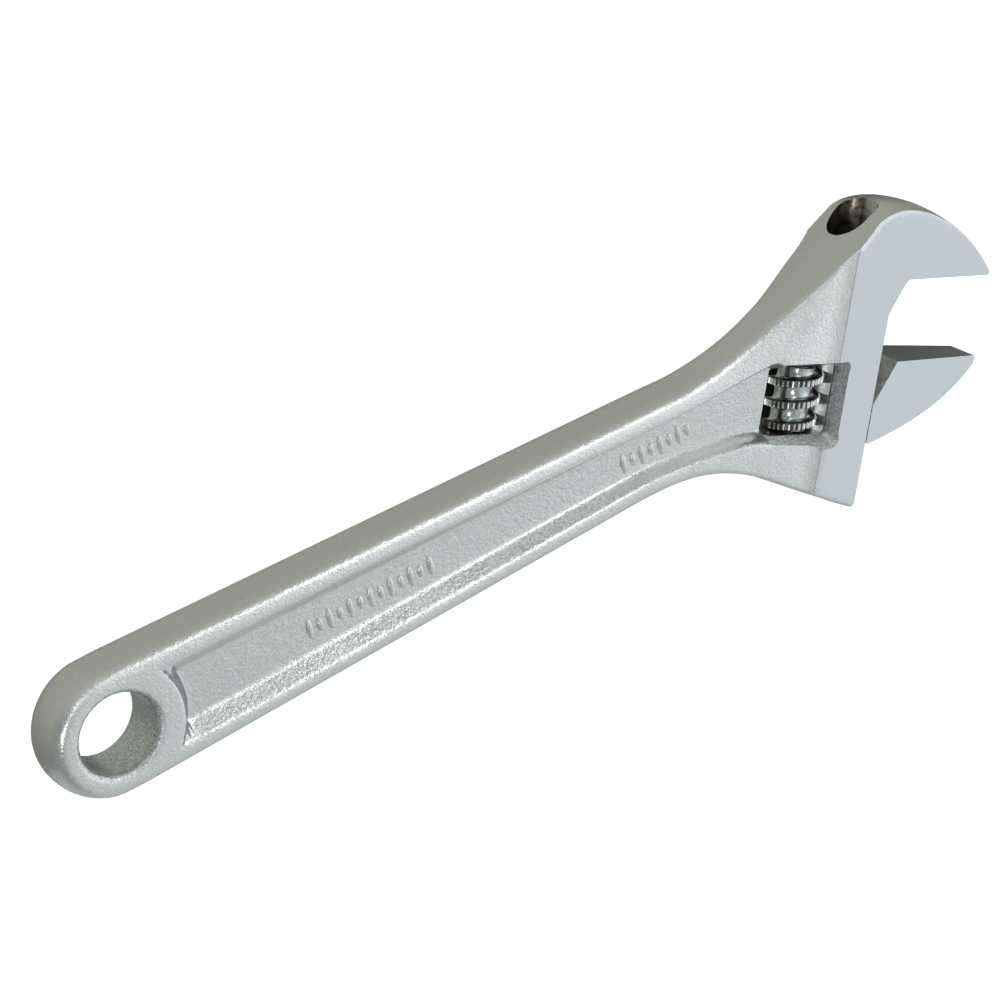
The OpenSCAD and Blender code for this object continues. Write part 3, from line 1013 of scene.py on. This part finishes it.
SPRING_Q = (-18.19, -16.21)
spring = grow("knurl_coil", spring_tree, {
    "Turns": 3.0, "Coil radius": 2.05 * MM, "Wire radius": 0.28 * MM,
    "Height": (SPRING_Q[1] - SPRING_Q[0]) * MM, "Material": spring_wire})
set_in_head(spring, KNURL_P, SPRING_Q[0])
shade(spring, 40)

marks = []
for name, x, bars in (("size_bars", 38.0, 13), ("maker_bars", 104.0, 8)):
    mark = grow(name, mark_tree, {
        "Count": bars, "Pitch": 2.05 * MM, "Width": 1.4 * MM, "Length": 3.9 * MM,
        "Height": 0.5 * MM, "Short share": 0.65, "Material": forged})
    points = np.array([v.co for v in mark.data.vertices]) + np.array([x, -0.6, FLOOR_H]) * MM
    mark.data.vertices.foreach_set("co", points.astype(np.float32).ravel())
    shade(mark, 40)
    marks.append(mark)

# %% [markdown]
# ## Who moves with whom
# The body, pin, spring and marks stay with the frame. The hook rides on the jaw's body, and the
# sleeve and its teeth turn with the knurl.

# %% Ride and replace
for piece, part, place, nodes in (
        (body, "frame", "body_plate", ["body"]), (pin, "frame", "pin_steel", ["knurl_pin"]),
        (spring, "frame", "spring_steel", ["knurl_spring"]),
        (marks[0], "frame", "body_plate", []), (marks[1], "frame", "body_plate", []),
        (jaw, "jaw", "jaw_plate", ["sliding_jaw"]), (sleeve, "knurl", "knurl_plate", ["knurl"]),
        (teeth, "knurl", "knurl_plate", [])):
    tidy_normals(piece)
    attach(piece, part)
    if nodes:
        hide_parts(*nodes)

# %% [markdown]
# ## Camera
# The tool lies on its back and is seen from above the hang hole's end, from the fixed jaw's
# side, so that the handle runs up to the right. A long lens from over half a metre keeps the
# handle's sides nearly parallel.

# %% Camera
camera = bpy.data.objects.new("camera", bpy.data.cameras.new("camera"))
bpy.context.scene.collection.objects.link(camera)
camera.location = Vector((-159.157, 274.511, 421.225)) * MM
camera.rotation_euler = [math.radians(a) for a in (-22.391, -34.847, -12.860)]
camera.data.lens, camera.data.sensor_width = 117.29, 36.0
camera.data.clip_start, camera.data.clip_end = 0.01, 20.0
bpy.context.scene.camera = camera

# %% [markdown]
# ## Floor and light
# Bare metal shows what surrounds it, so the light is arranged for what each surface mirrors.
# Three small soft boxes high round the tool draw the bright lines along its rounded edges. The
# floor is white paper that glows a little, as over a light table, so that shadows stay pale.
# Neither the floor nor the card under the head shows in the metal.

# %% Floor, and the dark that shows through the window
FLOOR_Z = -7.31              # the band's lower face rests on it
FLOOR_HALF = 3000


def sheet(name, corners, z, paper, grey, glow):
    """A flat sheet of matt paper with a colour and a glow, unseen in mirrors."""
    piece = mesh_from(name, [(x, y, z) for x, y in corners], [(0, 1, 2, 3)])
    material = bpy.data.materials.new(paper)
    material.use_nodes = True
    shader = material.node_tree.nodes["Principled BSDF"]
    for socket, value in (("Base Color", (*grey, 1)), ("Roughness", 1.0),
                          ("Specular IOR Level", 0.0), ("Emission Color", (1, 1, 1, 1)),
                          ("Emission Strength", glow)):
        shader.inputs[socket].default_value = value
    piece.data.materials.append(material)
    piece.visible_glossy = False
    return piece


wide = FLOOR_HALF
floor = sheet("floor", [(-wide, -wide), (wide, -wide), (wide, wide), (-wide, wide)], FLOOR_Z,
              "pale_paper", (0.5, 0.5, 0.5), 0.9)
under = from_head(np.array([[-25, -31], [-5, -31], [-5, -13.5], [-25, -13.5]], float))
shadow = sheet("shadow_under_head", under, FLOOR_Z + 0.05, "shaded_paper",
               (0.035, 0.04, 0.04), 0.0)

# %% Lights and surroundings
centre_of_tool = np.array([85.0, 5.0, 0.0])
LAMP_FAR = 1000              # from the tool's centre

for name, direction, size, power in (("key", (0.43, 0.575, 0.70), 320, 0.62),
                                     ("front", (-0.35, 0.45, 0.82), 320, 0.5),
                                     ("side", (-0.65, -0.03, 0.76), 200, 0.7)):
    light = bpy.data.lights.new(name, "AREA")
    light.shape, light.size, light.energy = "DISK", size * MM, power
    lamp = bpy.data.objects.new(name, light)
    away = np.array(direction, float) / np.linalg.norm(direction)
    lamp.location = Vector(centre_of_tool + away * LAMP_FAR) * MM
    lamp.rotation_euler = Vector(away).to_track_quat("Z", "Y").to_euler()
    bpy.context.scene.collection.objects.link(lamp)

# %% [markdown]
# What the metal mirrors is not what lights the paper: to mirrored rays the studio has a pale
# ceiling in bands of different brightness, dimmer walls and a dark cloth low beyond the head,
# and to all other rays it is one even grey. The Light Path node tells the two apart.

# %% Surroundings
world = bpy.data.worlds.new("studio")
bpy.context.scene.world = world
world.use_nodes = True
sky = world.node_tree
way = node(sky, "ShaderNodeTexCoord")
split = node(sky, "ShaderNodeSeparateXYZ", {0: way.outputs["Generated"]})
x, y, z = split.outputs
walls = blend_of(sky, ramp_between(sky, y, -0.6, 0.6), (0.205, 0.22, 0.20), (0.395, 0.405, 0.35))
cloth = maths(sky, "MULTIPLY", ramp_between(sky, x, 0.46, 0.6), ramp_between(sky, y, 0.3, 0.1))
cloth = maths(sky, "MULTIPLY", cloth, ramp_between(sky, z, -0.62, -0.72))
walls = blend_of(sky, ramp_between(sky, y, -0.58, -0.7), walls, (0.46, 0.48, 0.47))
low = blend_of(sky, cloth, walls, (0.06, 0.067, 0.066))
ceiling = blend_of(sky, ramp_between(sky, x, -0.6, 0.2), (0.26, 0.28, 0.285), (0.55, 0.60, 0.60))
ceiling = blend_of(sky, ramp_between(sky, x, 0.5, 0.64), ceiling, (0.71, 0.765, 0.78))
lit = maths(sky, "MULTIPLY", ramp_between(sky, x, 0.34, 0.44), ramp_between(sky, y, -0.48, -0.42))
ceiling = blend_of(sky, lit, ceiling, (0.93, 0.96, 0.98))
ceiling = blend_of(sky, ramp_between(sky, y, 0.4, 0.8), ceiling, (0.44, 0.45, 0.435))
studio = blend_of(sky, ramp_between(sky, z, -0.35, 0.3), low, ceiling)
path = node(sky, "ShaderNodeLightPath")
seen = blend_of(sky, path.outputs["Is Glossy Ray"], (0.72, 0.72, 0.72), studio)
sky.links.new(seen, sky.nodes["Background"].inputs["Color"])
bpy.context.scene.view_settings.view_transform = "Standard"

# %% End
print("scene built")
